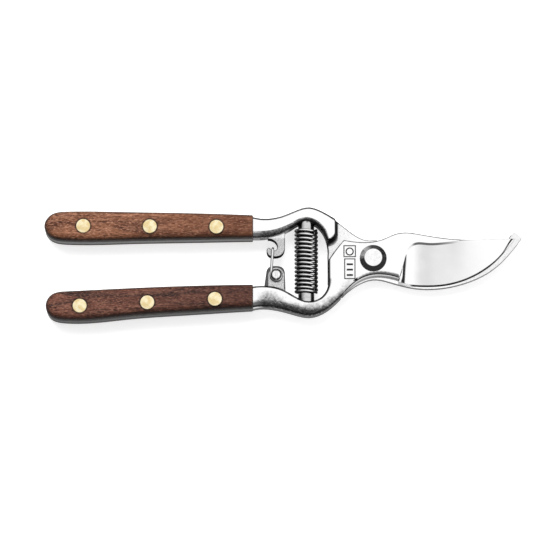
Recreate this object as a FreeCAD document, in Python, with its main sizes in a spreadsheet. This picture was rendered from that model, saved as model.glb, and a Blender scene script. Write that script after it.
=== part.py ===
import FreeCAD, Part
import math
import os

import Sketcher
from FreeCAD import Placement, Rotation, Vector

# Bypass pruning shears, closed and latched, lying flat on a bench.
#
# Row frame: +X runs along the tool from the handle ends to the blade tips, +Y runs across it from
# the cutting lever's handle to the hook lever's handle, +Z points up from the bench. The origin is
# at the middle of the bounding box's base. Each sub-part is drawn about the pivot's axis, which its
# Placement then carries to (pivot_x, pivot_y). Lengths are in millimetres.

# Driving dimensions: alias, value, meaning.
SIZES = [
    ("pivot_x", 39.35, "pivot axis from the middle of the tool's length"),
    ("pivot_y", 2.178, "pivot axis from the middle of the tool's width"),
    # levels above the bench
    ("scale_thick", 5.1, "one wooden handle scale"),
    ("tang_low", 5.1, "underside of the tangs"),
    ("tang_thick", 4.2, "flat tang between two scales"),
    ("scale_front_low", 9.3, "underside of the front scales"),
    ("neck_low", 2.7, "underside of the forged necks"),
    ("neck_thick", 9.0, "full forging thickness"),
    ("hook_plate_top", 7.15, "lap face of the hook lever"),
    ("lap_cut", 10.0, "height of the milled lap cuts, past the forging"),
    ("cut_plate_low", 7.25, "lap face of the cutting lever"),
    ("lug_low", 5.2, "underside of the catch lugs"),
    ("lug_thick", 3.8, "thickness of the catch lugs"),
    ("mid_level", 7.2, "mid-plane, which carries the spring"),
    # handles
    ("neck_end", -52.7, "where the wood butts against the necks"),
    ("hook_rivet_left", -127.1, "rivets of the hook handle"),
    ("hook_rivet_right", -68.7, ""),
    ("hook_rivet_left_y", 14.0, ""),
    ("hook_rivet_right_y", 13.6, ""),
    ("cutting_rivet_left", -128.3, "rivets of the cutting handle"),
    ("cutting_rivet_right", -69.3, ""),
    ("cutting_rivet_left_y", -21.6, ""),
    ("cutting_rivet_right_y", -18.6, ""),
    ("rivet_head", 3.0, "radius of a rivet head"),
    ("rivet_head_hole", 3.05, "radius of its counterbore"),
    ("rivet_tube", 2.2, "outer radius of the socket half"),
    ("rivet_tube_hole", 2.25, "radius of the hole through wood and tang"),
    ("rivet_pin", 1.5, "radius of the pin half"),
    ("rivet_sink", 1.2, "depth of a counterbore"),
    ("rivet_seat_front", 13.2, "underside of a front head"),
    ("rivet_rim_front", 14.4, "rim of a front head"),
    ("rivet_crown", 14.58, "crown of a front head"),
    ("rivet_pin_end", 3.4, "lower end of a pin"),
    ("rivet_flat_back", 0.08, "face of a back head"),
    ("rivet_seat_back", 1.2, "seat of a back head"),
    ("rivet_tube_end", 10.6, "mouth of a socket"),
    ("rivet_socket_floor", 3.3, "floor of a socket"),
    # pivot
    ("bore", 3.55, "radius of the pivot bore in both levers"),
    ("shank", 3.5, "radius of the bolt's bearing shank"),
    ("thread", 2.95, "radius of the bolt's threaded end"),
    ("bolt_end", 0.3, "lower end of the bolt"),
    ("head_low", 11.75, "underside of the bolt head"),
    ("head_rim", 11.95, "top of the head's straight rim"),
    ("head_top", 13.95, "flat top of the head"),
    ("head_base", 5.9, "radius of the head's base"),
    ("head_flat", 3.85, "radius of the head's flat top"),
    ("nut_thick", 2.1, "thin hexagon nut"),
    ("nut_flats", 10.0, "nut width across flats"),
    ("nut_bore", 3.0, "radius of the nut's thread"),
    ("washer_thick", 0.6, "washer under the nut"),
    ("washer_outer", 6.2, "washer outer radius"),
    ("washer_bore", 3.15, "washer inner radius"),
    # return spring and its studs
    ("stud_x", -29.3, "spring axis"),
    ("stud", 3.5, "radius of a spring stud"),
    ("stud_tip", 1.8, "radius of the flat on its tip"),
    ("hook_stud_shoulder", 11.6, "where the hook stud starts to taper"),
    ("cutting_stud_shoulder", -13.1, "where the cutting stud starts to taper"),
    ("stud_seat", 3.55, "radius of the spot face in a neck"),
    ("stud_tenon", 2.0, "radius of a stud's tenon, a press fit in its neck"),
    ("hook_seat", 16.9, "floor of the hook neck's spot face"),
    ("hook_tenon_end", 20.4, "end of the hook stud's tenon"),
    ("hook_dome", 8.9, "tip of the hook stud's dome"),
    ("cutting_seat", -18.9, "floor of the cutting neck's spot face"),
    ("cutting_tenon_end", -22.4, "end of the cutting stud's tenon"),
    ("cutting_dome", -10.4, "tip of the cutting stud's dome"),
    ("spring_radius", 4.6, "coil radius at the wire's centre"),
    ("spring_wire", 0.62, "radius of the spring wire"),
    ("spring_low", -14.75, "centre of the first coil"),
    ("spring_length", 28.4, "from the first coil's centre to the last's"),
    ("spring_turns", 15.5, "number of coils"),
    # catch
    ("screw_x", -42.5, "catch screw"),
    ("screw_y", -7.2, ""),
    ("screw_shank", 1.6, "radius of the screw's shank"),
    ("screw_hole", 1.6, "radius of its hole in the lug"),
    ("screw_head", 2.45, "radius of the screw's head"),
    ("screw_end", 4.9, "lower end of the screw"),
    ("screw_head_low", 10.55, "underside of the head"),
    ("screw_head_rim", 11.55, "rim of the head"),
    ("screw_head_top", 11.95, "crown of the head"),
    ("screw_crown", 1.9, "radius of the crown's flat"),
    ("slot_wide", 0.8, "width of the screwdriver slot"),
    ("slot_deep", 0.7, "depth of the screwdriver slot"),
    # edges
    ("neck_round", 1.8, "rounding of the necks' long edges"),
    ("spine_round", 0.9, "rounding of the blade's spine"),
    ("lug_round", 0.4, "rounding of the catch lugs' upper edges"),
    ("scale_round", 3.0, "rounding of a scale's long edges"),
    ("end_round", 0.5, "rounding of a scale's end beside the neck"),
    ("foot_round", 2.0, "fillet at the foot of the hook lever's lap step"),
    ("step_round", 0.8, "rounding at the top of the lap step"),
    ("mark_deep", 0.12, "depth of the plain engraved frames"),
]
SIZE = {alias: value for alias, value, meaning in SIZES}

# Positions that only one outline uses, as (x, y) about the pivot.
CUTTING_EDGE = [(62.6, 9.6), (57.5, 3.1), (51.0, -3.2), (43.0, -8.0), (34.2, -11.0), (25.4, -12.0),
                (11.2, -11.1)]
CUTTING_NECK_BACK = [(11.2, -8.9), (6.0, -7.6), (0.0, -7.5), (-6.0, -9.6), (-13.0, -15.9), (-19.5, -22.1),
                     (-27.5, -25.4), (-35.0, -24.1), (-44.0, -21.9), (-52.7, -22.1)]
HOOK_NECK_BELLY = [(-19.9, 2.0), (-20.6, 8.4), (-24.0, 14.3), (-29.3, 16.7), (-35.0, 14.3), (-40.5, 11.3),
                   (-46.1, 9.8), (-52.7, 9.5)]
FRAMES = [(-13.0, 0.5, -7.6, 5.8), (-12.7, -9.3, -7.8, -0.1)]
FRAME_LINE = 0.4
RING = (-10.3, 3.0, 1.3, 1.8)
BARS = [(-11.6, -7.9, -8.9, -7.1), (-11.6, -5.5, -8.9, -4.7), (-11.6, -3.1, -8.9, -2.3)]
THROAT_LEG = (-43.95, 4.95)
WIRE_RADIUS = 0.6
WIRE_LEVEL = 9.75
EYE_RADIUS = 2.3
EYE_SWEEP = 335.0
LEG_BEND = 1.2
LEG_END = 6.2


def write_sizes(doc):
    """Spreadsheet that holds the driving dimensions."""
    sheet = doc.addObject("Spreadsheet::Sheet", "sizes")
    for row, (alias, value, meaning) in enumerate(SIZES, start=1):
        sheet.set(f"A{row}", meaning or alias)
        sheet.set(f"B{row}", str(value))
        sheet.setAlias(f"B{row}", alias)
    doc.recompute()
    return sheet


# ---------------------------------------------------------------- small helpers

def add_body(doc, name, x="pivot_x", y="pivot_y"):
    """Body whose own origin lies on the pivot axis, at bench level."""
    body = doc.addObject("PartDesign::Body", name)
    body.Label = name
    body.setExpression("Placement.Base.x", f"sizes.{x}")
    body.setExpression("Placement.Base.y", f"sizes.{y}")
    return body


def origin_plane(body, role):
    """One of the body's own origin planes."""
    return next(f for f in body.Origin.OriginFeatures if f.Role == role)


def add_sketch(body, name, role="XY_Plane", level=None, offset=(0, 0)):
    """Sketch on an origin plane, raised to a level of the sheet and shifted in its plane."""
    sketch = body.newObject("Sketcher::SketchObject", name)
    sketch.AttachmentSupport = [(origin_plane(body, role), "")]
    sketch.MapMode = "FlatFace"
    sketch.AttachmentOffset = Placement(Vector(offset[0], offset[1], 0), Rotation())
    if level:
        sketch.setExpression("AttachmentOffset.Base.z", f"sizes.{level}")
    return sketch


def draw(sketch, stretches):
    """Closed outline from stretches that share end points: two points make a line, more a curve."""
    indices = []
    for points in stretches:
        vectors = [Vector(x, y, 0) for x, y in points]
        if len(vectors) == 2:
            edge = Part.LineSegment(*vectors)
        else:
            edge = Part.BSplineCurve()
            edge.interpolate(Points=vectors)
        indices.append(sketch.addGeometry(edge, False))
    for here, following in zip(indices, indices[1:] + indices[:1]):
        sketch.addConstraint(Sketcher.Constraint("Coincident", here, 2, following, 1))
    return indices


def hold_upright(sketch, line, alias):
    """A straight stretch that stands along Y at the sheet's distance from the pivot."""
    sketch.addConstraint(Sketcher.Constraint("Vertical", line))
    held = sketch.addConstraint(Sketcher.Constraint("DistanceX", -1, 1, line, 1, SIZE[alias]))
    sketch.setExpression(f"Constraints[{held}]", f"sizes.{alias}")


def draw_circle(sketch, centre, alias):
    """Circle of a radius from the sheet; its centre is given as values or as aliases."""
    place = [SIZE[c] if isinstance(c, str) else c for c in centre]
    circle = sketch.addGeometry(Part.Circle(Vector(*place, 0), Vector(0, 0, 1), SIZE[alias]), False)
    held = sketch.addConstraint(Sketcher.Constraint("Radius", circle, SIZE[alias]))
    sketch.setExpression(f"Constraints[{held}]", f"sizes.{alias}")
    for direction, wanted, value in zip(("DistanceX", "DistanceY"), centre, place):
        if value == 0:
            on_axis = -2 if direction == "DistanceX" else -1
            sketch.addConstraint(Sketcher.Constraint("PointOnObject", circle, 3, on_axis))
            continue
        held = sketch.addConstraint(Sketcher.Constraint(direction, -1, 1, circle, 3, value))
        if isinstance(wanted, str):
            sketch.setExpression(f"Constraints[{held}]", f"sizes.{wanted}")
    return circle


def draw_profile(sketch, corners):
    """Closed profile for turning: each corner is a pair of aliases, or 0 for the axis."""
    places = [[0 if c == 0 else SIZE[c] for c in corner] for corner in corners]
    lines = []
    for here, following in zip(places, places[1:] + places[:1]):
        lines.append(sketch.addGeometry(Part.LineSegment(Vector(*here, 0), Vector(*following, 0)), False))
    for line, following in zip(lines, lines[1:] + lines[:1]):
        sketch.addConstraint(Sketcher.Constraint("Coincident", line, 2, following, 1))
    for line, corner in zip(lines, corners):
        for direction, on_axis, alias in (("DistanceX", -2, corner[0]), ("DistanceY", -1, corner[1])):
            if alias == 0:
                sketch.addConstraint(Sketcher.Constraint("PointOnObject", line, 1, on_axis))
                continue
            held = sketch.addConstraint(Sketcher.Constraint(direction, -1, 1, line, 1, SIZE[alias]))
            sketch.setExpression(f"Constraints[{held}]", f"sizes.{alias}")


def pad(body, sketch, alias):
    """Pad upwards by a length from the sheet."""
    feature = body.newObject("PartDesign::Pad", sketch.Name + "Pad")
    feature.Profile = sketch
    feature.setExpression("Length", f"sizes.{alias}")
    sketch.Document.recompute()
    return feature


def cut(body, sketch, alias=None, upwards=False):
    """Pocket by a length from the sheet, or right through; it has to remove material."""
    before = body.Shape.Volume
    feature = body.newObject("PartDesign::Pocket", sketch.Name + "Pocket")
    feature.Profile = sketch
    feature.Reversed = upwards
    if alias:
        feature.setExpression("Length", f"sizes.{alias}")
    else:
        feature.Type = "ThroughAll"
        feature.Midplane = True
    sketch.Document.recompute()
    if body.Shape.Volume > before - 1e-3:
        raise RuntimeError(f"{sketch.Name} cuts nothing from {body.Label}")
    return feature


def turn(body, sketch, kind="PartDesign::Revolution"):
    """Turn a profile about its sketch's upright axis."""
    feature = body.newObject(kind, sketch.Name + "Turned")
    feature.Profile = sketch
    feature.ReferenceAxis = (sketch, ["V_Axis"])
    feature.Angle = 360
    sketch.Document.recompute()
    return feature


def round_edges(body, name, alias, wanted):
    """Fillet on the edges of the body's tip whose middle point is wanted."""
    base = body.Tip
    chosen = []
    for number, edge in enumerate(base.Shape.Edges, start=1):
        middle = edge.valueAt((edge.FirstParameter + edge.LastParameter) / 2)
        if wanted(edge, middle):
            chosen.append(f"Edge{number}")
    if not chosen:
        raise RuntimeError(f"{name} finds no edges on {body.Label}")
    feature = body.newObject("PartDesign::Fillet", name)
    feature.Base = (base, chosen)
    feature.setExpression("Radius", f"sizes.{alias}")
    body.Document.recompute()
    return feature


def lies_flat(edge, level):
    """Whether an edge stays at one level."""
    box = edge.BoundBox
    return abs(box.ZMin - level) < 1e-3 and abs(box.ZMax - level) < 1e-3


# ---------------------------------------------------------------- outlines

def hook_handle_outline():
    """Hook handle, seen from above: a straight end beside the neck, then round the free end."""
    return [
        [(-52.7, 9.1), (-52.7, 19.3)],
        [(-52.7, 19.3), (-80.0, 20.2), (-108.0, 20.7), (-134.5, 20.9), (-141.4, 19.4), (-144.3, 14.4),
         (-142.0, 9.8), (-134.5, 7.8), (-108.0, 8.05), (-80.0, 8.6), (-52.7, 9.1)],
    ]


def cutting_handle_outline():
    """Cutting handle, seen from above, in the same order."""
    return [
        [(-52.7, -22.1), (-52.7, -11.8)],
        [(-52.7, -11.8), (-80.0, -12.3), (-108.0, -13.4), (-134.0, -14.7), (-141.0, -16.4), (-143.3, -20.8),
         (-141.6, -25.3), (-134.5, -27.5), (-108.0, -25.8), (-80.0, -23.8), (-52.7, -22.1)],
    ]


def hook_lever_outline():
    """Hook lever beyond the wood: neck, lap plate, and the hook that carries the branch."""
    return [
        [(-52.7, 9.5), (-52.7, 18.8)],
        # back of the neck, down to the pivot boss
        [(-52.7, 18.8), (-46.1, 18.1), (-40.5, 19.1), (-34.2, 21.6), (-28.0, 23.2), (-22.0, 21.2),
         (-15.2, 17.0), (-9.6, 12.6), (-5.0, 9.8), (0.0, 9.1)],
        # round the boss into the hook's inner edge
        [(0.0, 9.1), (5.2, 7.5), (8.6, 3.4), (11.6, -1.2), (17.0, -4.7), (26.0, -6.3), (36.0, -5.8),
         (46.0, -2.7), (54.0, 2.8), (60.4, 11.0)],
        # blunt end
        [(60.4, 11.0), (62.3, 12.7)],
        [(62.3, 12.7), (65.6, 9.9)],
        # outer edge of the hook, back to the heel under the pivot
        [(65.6, 9.9), (60.6, 3.5), (52.6, -4.2), (43.0, -9.3), (30.2, -12.5), (20.0, -12.7), (8.6, -10.2),
         (0.0, -8.6), (-6.0, -10.6), (-13.5, -16.5)],
        # closing stop
        [(-13.5, -16.5), (-19.9, -10.6)],
        # right side of the spring window
        [(-19.9, -10.6), (-19.9, 2.0)],
        # belly of the neck
        HOOK_NECK_BELLY,
    ]


def cutting_lever_outline():
    """Cutting lever beyond the wood: neck, lap plate and blade."""
    return [
        [(-52.7, -22.1), (-52.7, -12.3)],
        # belly of the neck
        [(-52.7, -12.3), (-46.0, -12.1), (-40.5, -13.3), (-35.0, -16.2), (-29.3, -18.7), (-23.8, -17.7),
         (-20.6, -14.2), (-19.9, -9.0)],
        # left side of the plate, then the slanting corner under the hook lever's step
        [(-19.9, -9.0), (-19.9, -1.2)],
        [(-19.9, -1.2), (-17.4, 2.6), (-12.8, 8.3)],
        # top of the plate, and the blade's spine
        [(-12.8, 8.3), (-6.0, 7.4), (0.0, 7.6), (5.5, 9.2), (10.0, 11.1), (14.3, 11.7), (20.0, 11.0),
         (29.0, 9.5), (38.0, 8.6), (50.0, 8.8), (62.6, 9.6)],
        # cutting edge
        CUTTING_EDGE,
        # heel
        [(11.2, -11.1), (11.2, -8.9)],
        # underside of the plate, and the back of the neck
        CUTTING_NECK_BACK,
    ]


def hook_lug_outline():
    """J-shaped keeper under the hook lever's neck; the catch's leg drops into its throat."""
    return [
        [(-38.7, 13.5), (-38.7, 4.9)],
        [(-38.7, 4.9), (-39.85, 2.2), (-42.6, 1.1)],
        [(-42.6, 1.1), (-44.2, 1.1)],
        [(-44.2, 1.1), (-46.0, 1.9), (-46.7, 3.7)],
        [(-46.7, 3.7), (-46.55, 4.6), (-45.8, 5.3), (-45.0, 4.9)],
        [(-45.0, 4.9), (-44.3, 4.2), (-43.4, 4.1), (-42.5, 4.4), (-42.1, 5.4)],
        [(-42.1, 5.4), (-42.2, 6.6), (-43.4, 8.2), (-46.2, 9.0)],
        [(-46.2, 9.0), (-46.2, 11.5)],
        [(-46.2, 11.5), (-38.7, 13.5)],
    ]


def cutting_lug_outline():
    """Rounded ear above the cutting lever's neck, for the catch screw."""
    return [
        [(-48.0, -14.0), (-46.9, -6.2)],
        [(-46.9, -6.2), (-45.9, -3.7), (-43.7, -2.9)],
        [(-43.7, -2.9), (-41.9, -2.9)],
        [(-41.9, -2.9), (-39.6, -3.8), (-38.7, -6.0)],
        [(-38.7, -6.0), (-38.4, -15.5)],
        [(-38.4, -15.5), (-48.0, -14.0)],
    ]


# ---------------------------------------------------------------- levers

def rivet_places(side):
    """The three rivet centres of one handle, evenly spaced."""
    left = (SIZE[f"{side}_rivet_left"], SIZE[f"{side}_rivet_left_y"])
    right = (SIZE[f"{side}_rivet_right"], SIZE[f"{side}_rivet_right_y"])
    middle = ((left[0] + right[0]) / 2, (left[1] + right[1]) / 2)
    return [left, middle, right]


def add_handle_tang(body, outline):
    """Flat tang that lies between the two scales."""
    sketch = add_sketch(body, "Tang", level="tang_low")
    indices = draw(sketch, outline)
    hold_upright(sketch, indices[0], "neck_end")
    pad(body, sketch, "tang_thick")


def bore_holes(body, places, alias, name):
    """Round holes right through a body."""
    sketch = add_sketch(body, name)
    for place in places:
        draw_circle(sketch, place, alias)
    cut(body, sketch)


def add_spot_face(body, seat, tenon_end, name):
    """Stepped hole across the neck: a spot face for the stud's shoulder, then its tenon hole."""
    sketch = add_sketch(body, name, level="mid_level", offset=(SIZE["stud_x"], 0))
    sketch.setExpression("AttachmentOffset.Base.x", "sizes.stud_x")
    draw_profile(sketch, [(0, 0), ("stud_seat", 0), ("stud_seat", seat), ("stud_tenon", seat),
                          ("stud_tenon", tenon_end), (0, tenon_end)])
    before = body.Shape.Volume
    turn(body, sketch, "PartDesign::Groove")
    if body.Shape.Volume > before - 1:
        raise RuntimeError(f"{name} cuts nothing")


# How far each neck is rounded off on the side of the user's palm, at stations along it: distance
# from the pivot, reach across the neck, and drop at the neck's side.
CUTTING_NECK_CROWN = [
    (-54.0, 3.5, 3.0),
    (-46.0, 3.6, 3.1),
    (-40.0, 3.8, 3.2),
    (-34.0, 4.0, 3.2),
    (-28.0, 4.0, 3.2),
    (-22.0, 3.6, 3.0),
    (-17.0, 2.8, 2.5),
    (-12.5, 2.0, 1.9),
    (-8.0, 1.3, 1.3),
]
HOOK_NECK_CROWN = [
    (-54.0, 3.3, 2.5),
    (-48.0, 3.2, 2.5),
    (-42.0, 2.9, 2.4),
    (-37.0, 2.3, 2.1),
    (-33.0, 1.7, 1.7),
    (-29.5, 1.3, 1.3),
]
CROWN_CLEAR = 0.03
CROWN_OUTSIDE = 0.15
ABOVE = 13.5
BEYOND = 2.0


def outline_at(outline, x):
    """An outline's y and its slope at a distance from the pivot."""
    curve = Part.BSplineCurve()
    curve.interpolate(Points=[Vector(px, py, 0) for px, py in outline])
    low, high = curve.FirstParameter, curve.LastParameter
    for _ in range(40):
        middle = (low + high) / 2
        if curve.value(middle).x > x:
            low = middle
        else:
            high = middle
    here = curve.value(low)
    along = curve.tangent(low)[0]
    slope = along.y / along.x
    return here.y + (x - here.x) * slope, abs(slope)


def add_station(body, name, x, runs):
    """Sketch across the tool at a distance from the pivot."""
    sketch = add_sketch(body, name, role="YZ_Plane")
    sketch.AttachmentOffset = Placement(Vector(0, 0, x), Rotation())
    draw(sketch, runs)
    return sketch


def loft_cut(body, name, sections):
    """Cut away what a loft through the sections covers."""
    body.Document.recompute()
    before = body.Shape.Volume
    loft = body.newObject("PartDesign::SubtractiveLoft", name)
    loft.Profile = sections[0]
    loft.Sections = sections[1:]
    body.Document.recompute()
    print(f"{name} removes {before - body.Shape.Volume:.1f} mm3 from {body.Label}")


def crown_neck(body, outline, stations):
    """Round a neck's upper edge off to an ellipse that fades out along the neck."""
    top = SIZE["neck_low"] + SIZE["neck_thick"] + CROWN_CLEAR
    sections = []
    for number, (x, reach, drop) in enumerate(stations):
        side, slope = outline_at(outline, x)
        outside = side - CROWN_OUTSIDE
        across = reach * math.hypot(1, slope) + CROWN_OUTSIDE
        curve = []
        for degrees in (0, 18, 36, 54, 72, 90):
            turn = math.radians(degrees)
            curve.append((outside + across * (1 - math.cos(turn)), top - drop + drop * math.sin(turn)))
        corners = [curve[-1], (curve[-1][0], ABOVE), (outside - BEYOND, ABOVE),
                   (outside - BEYOND, top - drop), curve[0]]
        runs = [[here, after] for here, after in zip(corners, corners[1:])]
        sections.append(add_station(body, f"Crown{number}", x, [curve] + runs))
    loft_cut(body, "NeckCrown", sections)


def make_hook_lever(doc):
    """Forged lever whose front end is the curved hook."""
    body = add_body(doc, "hook_lever")
    neck_top = SIZE["neck_low"] + SIZE["neck_thick"]
    forging = add_sketch(body, "Forging", level="neck_low")
    indices = draw(forging, hook_lever_outline())
    hold_upright(forging, indices[0], "neck_end")
    pad(body, forging, "neck_thick")

    # The lap cut leaves the lower half of the forging, from a U-shaped step forwards.
    lap = add_sketch(body, "Lap", level="hook_plate_top")
    draw(lap, [
        [(-16.4, 30.0), (-16.4, 12.2)],
        [(-16.4, 12.2), (-17.2, 9.6), (-19.0, 8.2), (-21.5, 7.9)],
        [(-21.5, 7.9), (-26.0, 7.9)],
        [(-26.0, 7.9), (-26.0, -25.0)],
        [(-26.0, -25.0), (75.0, -25.0)],
        [(75.0, -25.0), (75.0, 30.0)],
        [(75.0, 30.0), (-16.4, 30.0)],
    ])
    cut(body, lap, "lap_cut", upwards=True)
    round_edges(body, "NeckTop", "neck_round",
                lambda edge, at: lies_flat(edge, neck_top) and at.x > -52 and edge.Length > 12)
    round_edges(body, "Underside", "neck_round",
                lambda edge, at: lies_flat(edge, SIZE["neck_low"]) and at.x > -52 and edge.Length > 6)
    crown_neck(body, HOOK_NECK_BELLY, HOOK_NECK_CROWN)

    plate_top = SIZE["hook_plate_top"]
    round_edges(body, "StepFoot", "foot_round",
                lambda edge, at: lies_flat(edge, plate_top) and -20 < at.x < -16 and 7 < at.y < 17)
    round_edges(body, "StepTop", "step_round",
                lambda edge, at: lies_flat(edge, neck_top) and -20 < at.x < -16 and edge.Length < 9)

    lug = add_sketch(body, "Keeper", level="lug_low")
    draw(lug, hook_lug_outline())
    pad(body, lug, "lug_thick")
    lug_top = SIZE["lug_low"] + SIZE["lug_thick"]
    round_edges(body, "KeeperEdge", "lug_round",
                lambda edge, at: lies_flat(edge, lug_top) and edge.BoundBox.YMin < 8
                and edge.BoundBox.YMax < 14)
    add_handle_tang(body, hook_handle_outline())
    bore_holes(body, rivet_places("hook"), "rivet_tube_hole", "RivetHoles")
    bore_holes(body, [(0, 0)], "bore", "PivotBore")
    add_spot_face(body, "hook_seat", "hook_tenon_end", "StudSeat")
    return body


# What grinding removes, at stations along the blade: distance from the pivot, where the grind
# starts below the spine, its level there, and its level beside the cutting edge.
GRIND_STATIONS = [
    (10.9, -10.4, 11.80, 11.65),
    (13.0, -3.2, 11.75, 10.10),
    (15.0, 2.8, 11.50, 8.80),
    (17.6, 5.6, 11.15, 8.20),
    (24.0, 5.9, 11.20, 8.15),
    (31.0, 6.2, 11.35, 8.20),
    (38.0, 7.2, 11.52, 8.20),
    (44.0, 9.4, 11.50, 8.15),
    (51.0, 11.2, 10.75, 8.10),
    (57.0, 12.8, 9.70, 8.05),
    (64.0, 15.0, 8.65, 8.00),
]
SHOULDER = (1.0, 11.72)
BEVEL_WIDTH = 0.62
EDGE_LEVEL = 7.35


def grind_blade(body):
    """Hollow left by the grindstone, with the fine bevel beside the cutting edge."""
    sections = []
    run, shoulder_level = SHOULDER
    for number, (x, start, start_level, edge_level) in enumerate(GRIND_STATIONS):
        edge, slope = outline_at(CUTTING_EDGE, x)
        bevel = BEVEL_WIDTH * math.hypot(1, slope)
        corners = [(start + run, ABOVE), (start + run, shoulder_level), (start, start_level),
                   (edge + bevel, edge_level), (edge, EDGE_LEVEL), (edge - BEYOND, EDGE_LEVEL),
                   (edge - BEYOND, ABOVE)]
        runs = [[here, after] for here, after in zip(corners, corners[1:] + corners[:1])]
        sections.append(add_station(body, f"Grind{number}", x, runs))
    loft_cut(body, "Grind", sections)


def engrave_frames(body):
    """Two plain engraved frames on the plate, one round a ring and one round three bars."""
    sketch = add_sketch(body, "Frames")
    sketch.setExpression("AttachmentOffset.Base.z", "sizes.neck_low + sizes.neck_thick")
    for x_low, y_low, x_high, y_high in FRAMES:
        for inset in (0, FRAME_LINE):
            draw_rectangle(sketch, x_low + inset, y_low + inset, x_high - inset, y_high - inset)
    for bar in BARS:
        draw_rectangle(sketch, *bar)
    x, y, inner, outer = RING
    for radius in (inner, outer):
        sketch.addGeometry(Part.Circle(Vector(x, y, 0), Vector(0, 0, 1), radius), False)
    cut(body, sketch, "mark_deep")


def draw_rectangle(sketch, x_low, y_low, x_high, y_high):
    """Upright rectangle from its two corners."""
    corners = [(x_low, y_low), (x_high, y_low), (x_high, y_high), (x_low, y_high)]
    draw(sketch, [[here, after] for here, after in zip(corners, corners[1:] + corners[:1])])


def make_cutting_lever(doc):
    """Forged lever whose front end is the blade."""
    body = add_body(doc, "cutting_lever")
    neck_top = SIZE["neck_low"] + SIZE["neck_thick"]
    forging = add_sketch(body, "Forging", level="neck_low")
    indices = draw(forging, cutting_lever_outline())
    hold_upright(forging, indices[0], "neck_end")
    pad(body, forging, "neck_thick")

    # The lap cut leaves the upper half of the forging, from the closing stop forwards.
    lap = add_sketch(body, "Lap", level="cut_plate_low")
    draw(lap, [
        [(-21.7, -8.9), (-9.7, -22.2)],
        [(-9.7, -22.2), (75.0, -22.2)],
        [(75.0, -22.2), (75.0, 30.0)],
        [(75.0, 30.0), (-21.7, 30.0)],
        [(-21.7, 30.0), (-21.7, -8.9)],
    ])
    cut(body, lap, "lap_cut")
    round_edges(body, "NeckTop", "neck_round",
                lambda edge, at: lies_flat(edge, neck_top) and -52 < at.x < 0 and at.y < -2
                and edge.Length > 6)
    round_edges(body, "Underside", "neck_round",
                lambda edge, at: lies_flat(edge, SIZE["neck_low"]) and at.x > -52 and edge.Length > 12)
    crown_neck(body, CUTTING_NECK_BACK, CUTTING_NECK_CROWN)

    round_edges(body, "Spine", "spine_round",
                lambda edge, at: lies_flat(edge, neck_top) and at.y > 3 and at.x > -20)
    grind_blade(body)
    engrave_frames(body)

    lug = add_sketch(body, "Ear", level="lug_low")
    draw(lug, cutting_lug_outline())
    pad(body, lug, "lug_thick")
    lug_top = SIZE["lug_low"] + SIZE["lug_thick"]
    round_edges(body, "EarEdge", "lug_round",
                lambda edge, at: lies_flat(edge, lug_top) and edge.BoundBox.YMax < -2
                and edge.BoundBox.XMax > -47)
    add_handle_tang(body, cutting_handle_outline())
    bore_holes(body, rivet_places("cutting"), "rivet_tube_hole", "RivetHoles")
    bore_holes(body, [(0, 0)], "bore", "PivotBore")
    bore_holes(body, [("screw_x", "screw_y")], "screw_hole", "CatchScrewHole")
    add_spot_face(body, "cutting_seat", "cutting_tenon_end", "StudSeat")
    return body


# ---------------------------------------------------------------- handles

def make_scale(doc, side, face):
    """Wooden scale on the front or back of one tang, rounded on its outer face."""
    body = add_body(doc, f"{side}_scale_{face}")
    front = face == "front"
    outline = hook_handle_outline() if side == "hook" else cutting_handle_outline()
    sketch = add_sketch(body, "Outline", level="scale_front_low" if front else None)
    indices = draw(sketch, outline)
    hold_upright(sketch, indices[0], "neck_end")
    pad(body, sketch, "scale_thick")
    outer = SIZE["scale_front_low"] + SIZE["scale_thick"] if front else 0
    end = SIZE["neck_end"]
    round_edges(body, "LongEdges", "scale_round",
                lambda edge, at: lies_flat(edge, outer) and abs(at.x - end) > 1)
    inner = SIZE["scale_front_low"] if front else SIZE["tang_low"]
    round_edges(body, "EndEdges", "end_round",
                lambda edge, at: abs(edge.BoundBox.XMin - end) < 1e-3
                and abs(edge.BoundBox.XMax - end) < 1e-3 and abs(at.z - inner) > 1)
    bore_holes(body, rivet_places(side), "rivet_tube_hole", "RivetHoles")
    seats = add_sketch(body, "HeadSeats", level="rivet_seat_front" if front else "rivet_seat_back")
    for place in rivet_places(side):
        draw_circle(seats, place, "rivet_head_hole")
    cut(body, seats, "scale_thick", upwards=front)
    return body


def make_turned(doc, name, corners, x=0, y=0):
    """Part turned about an upright axis that stands at (x, y) from the pivot."""
    body = doc.addObject("PartDesign::Body", name)
    body.Label = name
    body.setExpression("Placement.Base.x", f"sizes.pivot_x + {x:.3f}")
    body.setExpression("Placement.Base.y", f"sizes.pivot_y + {y:.3f}")
    sketch = add_sketch(body, "Profile", role="XZ_Plane")
    draw_profile(sketch, corners)
    turn(body, sketch)
    return body


def make_rivets(doc, side):
    """Two-piece brass cutlery rivets: a pin half in front, a socket half behind."""
    rivets = []
    for number, (x, y) in enumerate(rivet_places(side), start=1):
        rivets.append(make_turned(doc, f"{side}_rivet_pin_{number}", [
            (0, "rivet_pin_end"), ("rivet_pin", "rivet_pin_end"), ("rivet_pin", "rivet_seat_front"),
            ("rivet_head", "rivet_seat_front"), ("rivet_head", "rivet_rim_front"),
            (0, "rivet_crown")], x, y))
        rivets.append(make_turned(doc, f"{side}_rivet_socket_{number}", [
            (0, "rivet_flat_back"), ("rivet_head", "rivet_flat_back"), ("rivet_head", "rivet_seat_back"),
            ("rivet_tube", "rivet_seat_back"), ("rivet_tube", "rivet_tube_end"),
            ("rivet_pin", "rivet_tube_end"), ("rivet_pin", "rivet_socket_floor"),
            (0, "rivet_socket_floor")], x, y))
    return rivets


# ---------------------------------------------------------------- pivot

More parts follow.
